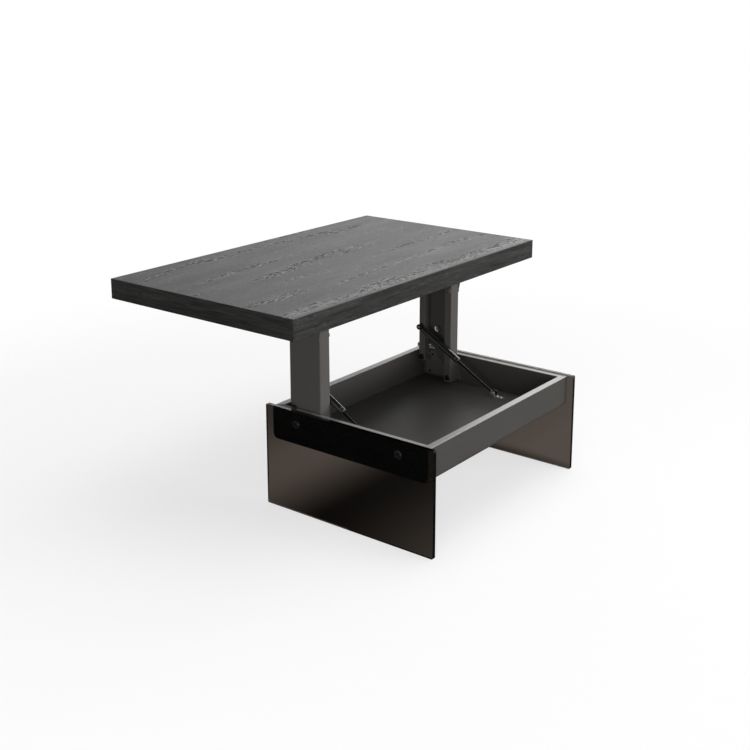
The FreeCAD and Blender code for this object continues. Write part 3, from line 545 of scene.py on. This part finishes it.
def make_buffers():
    """Rubber buffers with a rounded rim and a screw recess."""
    radius, height, recess = 7.0, 6.7, 2.2
    rings = [(radius, 0), (radius, 3.4), (6.6, 5.6), (5.6, 6.6), (4.2, height),
             (2.6, height), (recess, 6.2), (recess, 3.5)]
    low, high = box_of("top_buffers")
    bm = bmesh.new()
    for side in SIDES:
        for y in (low.y + radius, high.y - radius):
            turned(bm, rings, upright(side * (high.x - radius), y, high.z, up=False), 32)
    piece("buffers", bm, ["top_buffers"])


def make_bracket_screws():
    """Three screws in each bracket, up into the board."""
    head_radius, head_height = 3.2, 2.2
    screw = button_screw(shank=2.0, length=12.0, radius=head_radius, height=head_height, socket=1.25)
    low, high = box_of("top_bracket_screws")
    front, back = low.y + head_radius, high.y - head_radius
    bm = bmesh.new()
    for side in SIDES:
        for y in (front, (front + back) / 2, back):
            place = upright(side * (high.x - head_radius), y, low.z + head_height, up=False)
            turned(bm, screw, place, 24)
    piece("bracket_screws", bm, ["top_bracket_screws"])


# Base

def make_base():
    """Glass, box, pivot plates and spring brackets."""
    for hand in ("left", "right"):
        eased("glass_panel_" + hand, 1.0)
        eased("box_end_" + hand, 0.8)
        eased("pivot_plate_" + hand, 0.4)
        eased("spring_bracket_" + hand, 0.5)
    for side in ("front", "back"):
        eased(f"box_{side}_rail", 0.8)
    eased("box_floor", 0.4)


def make_rims():
    """Satin rims. Those of the ends are painted like the arms at the back, beside the links, as painted shade."""
    easing = 0.5
    painted_shade_from_y = 0.0
    finishes = [FINISHES["rim_satin"], FINISHES["arm_paint"]]
    for side in ("front", "back"):
        eased("rim_trim_" + side, easing)
    for hand in ("left", "right"):
        node = "rim_trim_" + hand
        rim = eased_solid(node, easing)
        bmesh.ops.bisect_plane(rim, geom=[*rim.verts, *rim.edges, *rim.faces],
                               plane_co=(0, painted_shade_from_y, 0), plane_no=(0, 1, 0))
        # Faces behind this plane take the arms' paint as painted shade
        for face in rim.faces:
            face.material_index = 1 if face.calc_center_median().y > painted_shade_from_y else 0
        piece(node + "_made", rim, [node], finishes)


def make_glass_bolts():
    """Broad black bolt heads with a domed ring around a dished middle and a hexagon socket."""
    shank, length, head_radius, head_height, socket = 4.0, 28.0, 12.5, 4.0, 2.9
    ring = [(12.0, 0), (head_radius, 0.4), (head_radius, 1.0), (12.1, 1.7), (11.2, 2.6), (9.9, 3.35),
            (8.3, 3.85), (6.8, head_height)]
    dish = [(5.6, 3.8), (5.0, 3.3), (4.4, 3.0)]
    hollow = [(3.1, 2.9, "hex"), (socket, 2.7, "hex"), (socket, 0.6, "hex")]
    bolt = [(shank, -length), (shank, 0), *ring, *dish, *hollow]
    washer = [(4.2, -1.0), (13.2, -1.0), (13.5, -0.7), (13.5, -0.2), (13.3, 0.0), (12.4, 0.0)]
    low, high = box_of("glass_bolts")
    bolts, washers = bmesh.new(), bmesh.new()
    for side in SIDES:
        for y in (low.y + head_radius, high.y - head_radius):
            place = facing(side, high.x - head_height, y, (low.z + high.z) / 2, outward=True)
            turned(bolts, bolt, place, 48)
            turned(washers, washer, place, 48)
    piece("glass_bolt_heads", bolts, ["glass_bolts"])
    piece("glass_bolt_washers", washers, ["glass_washers"])


def make_pins():
    """Pivot pins with button heads on the inner sides of arms and links.

    Their outer ends, and the whole upper pins of the arms, are painted over like the arms.
    """
    head_radius, head_height, socket, chamfer = 9.5, 4.7, 2.6, 0.6
    arm_pin, link_pin = 5.0, 4.0
    pin_radius = {"arm_pivot_pins": arm_pin, "link_pivot_pins": link_pin,
                  "upper_arm_pins": arm_pin, "upper_link_pins": link_pin}
    for node, radius in pin_radius.items():
        low, high = box_of(node)
        middle = (low + high) / 2
        seat = inner_face(node) + head_height
        outer_end = seat - high.x
        pin = [(radius - chamfer, outer_end), (radius, outer_end + chamfer), (radius, 0),
               *button_head(head_radius, head_height, socket)]
        bm = bmesh.new()
        for side in SIDES:
            bands = turned(bm, pin, facing(side, seat, middle.y, middle.z, outward=False))
            set_finish(bands if node == "upper_arm_pins" else bands[:2], 1)
        piece(node + "_made", bm, [node], [FINISHES["black_hardware"], FINISHES["arm_paint"]])


def make_screws():
    """Countersunk screws of the pivot plates and round screws of the spring brackets."""
    flush_screw = [(1.4, -12), (2.0, -11), (2.0, -2.0), (3.9, -0.15), (3.8, 0.0), (2.2, 0.0),
                   (1.6, -0.05, "hex"), (1.5, -0.2, "hex"), (1.5, -1.4, "hex")]
    bm = bmesh.new()
    for low, high in screw_boxes("pivot_plate_screws"):
        middle = (low + high) / 2
        for side in SIDES:
            turned(bm, flush_screw, facing(side, low.x, middle.y, middle.z, outward=False), 24)
    piece("plate_screws", bm, ["pivot_plate_screws"])
    head_height = 2.2
    round_screw = button_screw(shank=2.0, length=7.0, radius=4.0, height=head_height, socket=1.5)
    bm = bmesh.new()
    for low, high in screw_boxes("spring_bracket_screws"):
        middle = (low + high) / 2
        for side in SIDES:
            turned(bm, round_screw, upright(side * middle.x, middle.y, high.z - head_height), 24)
    piece("bracket_foot_screws", bm, ["spring_bracket_screws"])


# Arms and links

def make_arms():
    """Channel arms, with darker paint on the web inside the channel as painted shade, and links."""
    low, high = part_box("main_arm_right")
    halfway = (low.x + high.x) / 2
    for hand, side in HANDS.items():
        node = "main_arm_" + hand
        arm = eased_solid(node, 0.5, bend_radius=4.0)
        for face in arm.faces:
            on_web = abs(face.calc_center_median().x) > halfway
            # The web's inward faces get the darker paint: painted shade in the channel
            face.material_index = 1 if on_web and face.normal.x * side < -0.9 else 0
        piece(node + "_made", arm, [node], [FINISHES["arm_paint"], CHANNEL_SHADE_PAINT])
        eased("control_link_" + hand, 0.4, bend_radius=1.2)


def make_hole_cups():
    """Dark grommets (painted shadow rings) with a pale liner (painted highlight), which close the round holes of
    the arms.
    """
    behind_pivot = 67.0
    hole_y = PIVOTS["arm_lift"].y + behind_pivot
    hole_z = (PIVOTS["arm_lift"].z + PIVOTS["top_level"].z) / 2
    web_outer = box_of("main_arm_right")[1].x
    grommet = [(10.3, -0.06), (10.4, -0.02), (10.0, 0.1), (9.48, 0.6), (9.48, 3.02), (10.7, 3.02),
               (11.0, 3.4), (11.0, 6.6), (10.6, 7.4), (10.0, 7.6)]
    bore = [(9.5, 7.5), (9.2, 7.1), (9.2, 1.2)]
    bm = bmesh.new()
    for side in SIDES:
        bands = turned(bm, grommet + bore, facing(side, web_outer, hole_y, hole_z, outward=False))
        outer_end, highlight_liner, cup_floor = bands[:3], bands[len(grommet) + 1:-1], bands[-1:]
        # Pale bore: painted highlight; dark grommet around it: painted shadow ring
        set_finish(highlight_liner, 1)
        set_finish(outer_end + cup_floor, 2)
    finishes = [FINISHES["black_nylon"], HIGHLIGHT_LINER, FINISHES["arm_paint"]]
    added_piece("arm_hole_cups", bm, "arms", "black_nylon", finishes)


# Gas springs

SPRING_X = (inner_face("ball_sockets") + box_of("ball_sockets")[1].x) / 2
ANCHOR = PIVOTS["spring_swing"]
STUD = sum(box_of("ball_studs"), Vector()) / 2


def along_spring(side):
    """A place on the anchor pin whose own Z axis runs up the gas spring."""
    right = Vector((1, 0, 0))
    up = (STUD - ANCHOR).normalized()
    turn = Matrix((right, up.cross(right), up)).transposed().to_4x4()
    return Matrix.Translation((ANCHOR + right * side * SPRING_X) * MM) @ turn


def spring_reach(node):
    """Where a right-hand CAD node starts and ends along its gas spring, from the anchor.

    In millimetres, to the nearest hundredth.
    """
    to_spring = along_spring(1).inverted()
    heights = [(to_spring @ vertex.co).z / MM for vertex in NODES[node].data.vertices]
    return round(min(heights), 2), round(max(heights), 2)


def make_gas_springs():
    """Necked gas tubes, and piston rods with their pistons."""
    radius, bore = 10.0, 7.5
    low, high = spring_reach("gas_cylinder_right")
    foot = [(8.0, low), (9.2, low + 0.5), (9.8, low + 1.6), (radius, low + 3.0)]
    neck = [(radius, low + 9.5), (9.5, low + 10.3), (9.3, low + 11.2), (9.5, low + 12.1),
            (radius, low + 12.9)]
    crown = [(radius, high - 3.0), (9.7, high - 1.4), (9.0, high - 0.4), (8.0, high)]
    tube = [(bore, low + 6.0), (bore, low + 0.4), *foot, *neck, *crown]
    rod_radius, chamfer, piston_radius, piston_length = 4.0, 0.6, 7.4, 6.0
    low, high = spring_reach("gas_rod_right")
    rod = [(rod_radius - chamfer, low), (rod_radius, low + chamfer), (rod_radius, high - piston_length),
           (piston_radius, high - piston_length), (piston_radius, high)]
    for hand, side in HANDS.items():
        bm = bmesh.new()
        turned(bm, tube, along_spring(side), 48)
        piece("gas_tube_" + hand, bm, ["gas_cylinder_" + hand])
        bm = bmesh.new()
        turned(bm, rod, along_spring(side), 32)
        piece("piston_rod_" + hand, bm, ["gas_rod_" + hand])


def make_spring_ends():
    """Eyes, seals, ball sockets and studs, with bright ball ends in the middle of the black sockets."""
    eased("ball_sockets", 1.2, steps=3)
    eased("rod_end_eyes", 0.8)
    eased("rod_seals", 0.4)
    eased("ball_studs", 0.3)
    ball_end = [(4.4, -0.5), (4.4, 0.2), (4.0, 0.7), (3.0, 1.15), (1.4, 1.4)]
    bm = bmesh.new()
    for side in SIDES:
        turned(bm, ball_end, facing(side, inner_face("ball_sockets"), STUD.y, STUD.z, outward=False), 32)
    added_piece("ball_ends", bm, "spring_cylinders", "bright_zinc")


def make_small_pieces():
    """Bushes, spacers, nuts, anchor pins and dowels."""
    for node in ("arm_bushes", "link_bushes", "link_spacers", "upper_link_spacers", "upper_link_nuts",
                 "spring_anchor_pins", "box_dowels"):
        eased(node, 0.35)


make_top()
make_top_frame()
make_buffers()
make_bracket_screws()
make_base()
make_rims()
make_glass_bolts()
make_pins()
make_screws()
make_arms()
make_hole_cups()
make_gas_springs()
make_spring_ends()
make_small_pieces()


# Studio

def floor_material():
    """A pale finish that fades to white around the table, keeps its shadow and sheds little light upwards.

    Through the glass it shows a painted shadow under the box and painted light around it, and from below it isn't
    seen.
    """
    floor = new_finish("pale_floor")
    place = floor.place()
    x, y, _ = floor.axes(place)
    away = (x * x + y * y).root()
    to_camera = floor.add("ShaderNodeLightPath", output="Is Camera Ray")
    mirrored = to_camera.output("Is Glossy Ray")
    through_glass = to_camera.output("Is Transmission Ray")
    pale = floor.blend(floor.noise(place, 18.0, 4.0), grey(0.86), grey(0.90))
    dark = floor.blend(mirrored, grey(0.17, 0.04), grey(0.06, 0.04))
    matte = floor.add("ShaderNodeBsdfPrincipled", sockets={
        "Base Color": floor.blend(to_camera, dark, pale), "Roughness": 1.0, "Specular IOR Level": 0.0})
    white = floor.add("ShaderNodeEmission", sockets={"Color": grey(1.0), "Strength": 1.0})
    # Seen through the glass: a painted shadow under the box and painted light beside, behind and before it
    beside = x.distance_from(0.0).between(0.36, 0.46) * 0.86
    behind = y.between(-0.10, 0.22) * (0.90 - y.between(0.25, 0.60) * 0.55)
    before = (0 - y).between(0.10, 1.00)
    lit = (beside + behind + before).at_most(1.0)
    share = (to_camera * (0.68 + away.between(0.8, 2.6) * 0.32) + mirrored * away.between(3.0, 9.0) * 0.4
             + through_glass * (0.03 + lit * 0.97))
    from_below = floor.add("ShaderNodeNewGeometry", output="Backfacing")
    clear = floor.add("ShaderNodeBsdfTransparent")
    seen = floor.layered(from_below, floor.layered(share, matte, white), clear)
    floor.add("ShaderNodeOutputMaterial", sockets={"Surface": seen})
    return floor.owner


def make_floor():
    """A wide flat floor just under the glass."""
    half, gap = 60.0, 0.3 * MM
    mesh = bpy.data.meshes.new("floor")
    corners = [(-half, -half, 0), (half, -half, 0), (half, half, 0), (-half, half, 0)]
    mesh.from_pydata(corners, [], [(0, 1, 2, 3)])
    mesh.materials.append(floor_material())
    floor = bpy.data.objects.new("floor", mesh)
    floor.location.z = -gap
    bpy.context.scene.collection.objects.link(floor)


def make_world():
    """White to the eye, while its own light is a low bright wall to the front and right under a dim sky."""
    world = bpy.data.worlds.new("studio")
    bpy.context.scene.world = world
    room = Finish(world)

    def background(value, strength):
        return room.add("ShaderNodeBackground", sockets={"Color": grey(value), "Strength": strength})

    x, y, z = room.axes(room.add("ShaderNodeTexCoord", output="Generated"))
    wall = (1 - z.between(0.30, 0.60)) * (x * 0.75 - y * 0.66).between(-0.40, 0.55)
    soft_light = room.layered(wall, background(0.08, 1.9), background(1.0, 1.9))
    to_camera = room.add("ShaderNodeLightPath", output="Is Camera Ray")
    mirrored = to_camera.output("Is Glossy Ray")
    through_glass = to_camera.output("Is Transmission Ray")
    share = (to_camera + through_glass + mirrored * 0.06).at_most(1.0)
    seen = room.layered(share, soft_light, background(1.0, 1.0))
    room.add("ShaderNodeOutputWorld", sockets={"Surface": seen})


def softbox(name, at, towards, size, power, mirrored=True):
    """A soft lamp that the camera doesn't see, and that shiny pieces may mirror."""
    data = bpy.data.lights.new(name, "AREA")
    data.shape = "RECTANGLE"
    data.size, data.size_y = size
    data.energy = power
    lamp = bpy.data.objects.new(name, data)
    lamp.location = at
    lamp.rotation_mode = "QUATERNION"
    lamp.rotation_quaternion = (Vector(towards) - Vector(at)).to_track_quat("-Z", "Y")
    lamp.visible_camera = False
    lamp.visible_glossy = mirrored
    bpy.context.scene.collection.objects.link(lamp)


def make_lamps():
    """Broad lamps for an even light, and two narrow ones whose lines show on metal and lacquer."""
    softbox("overhead", at=(0.6, -0.4, 3.6), towards=(0.0, 0.0, 0.4), size=(3.0, 3.0), power=90.0)
    softbox("front", at=(1.2, -3.7, 0.45), towards=(0.2, 0.0, 0.40), size=(3.0, 0.7), power=112.0,
            mirrored=False)
    softbox("left_fill", at=(-3.4, -1.6, 0.70), towards=(0.0, 0.0, 0.45), size=(2.2, 1.2), power=54.0,
            mirrored=False)
    softbox("left_strip", at=(-3.3, -1.7, 0.60), towards=(0.0, -0.2, 0.30), size=(0.15, 1.2), power=8.0)
    softbox("right_strip", at=(3.2, 0.1, 3.0), towards=(0.2, 0.0, 0.30), size=(0.25, 1.6), power=8.0)


def make_camera():
    """The photograph's viewpoint, in a frame of 750 by 750 pixels."""
    frame_pixels, focal_pixels, shift_pixels, sensor = 750.0, 1172.68, -112.0, 36.0
    pitch, yaw = -13.346, 37.54
    data = bpy.data.cameras.new("camera")
    data.sensor_width = sensor
    data.lens = focal_pixels / frame_pixels * sensor
    data.shift_y = shift_pixels / frame_pixels
    data.clip_end = 200.0
    camera = bpy.data.objects.new("camera", data)
    camera.location = (-2.73542, -2.10834, 1.48652)
    camera.rotation_euler = (math.radians(90 + pitch), 0, math.radians(yaw - 90))
    bpy.context.scene.collection.objects.link(camera)
    bpy.context.scene.camera = camera


make_floor()
make_world()
make_lamps()
make_camera()
bpy.context.scene.view_settings.view_transform = "Standard"
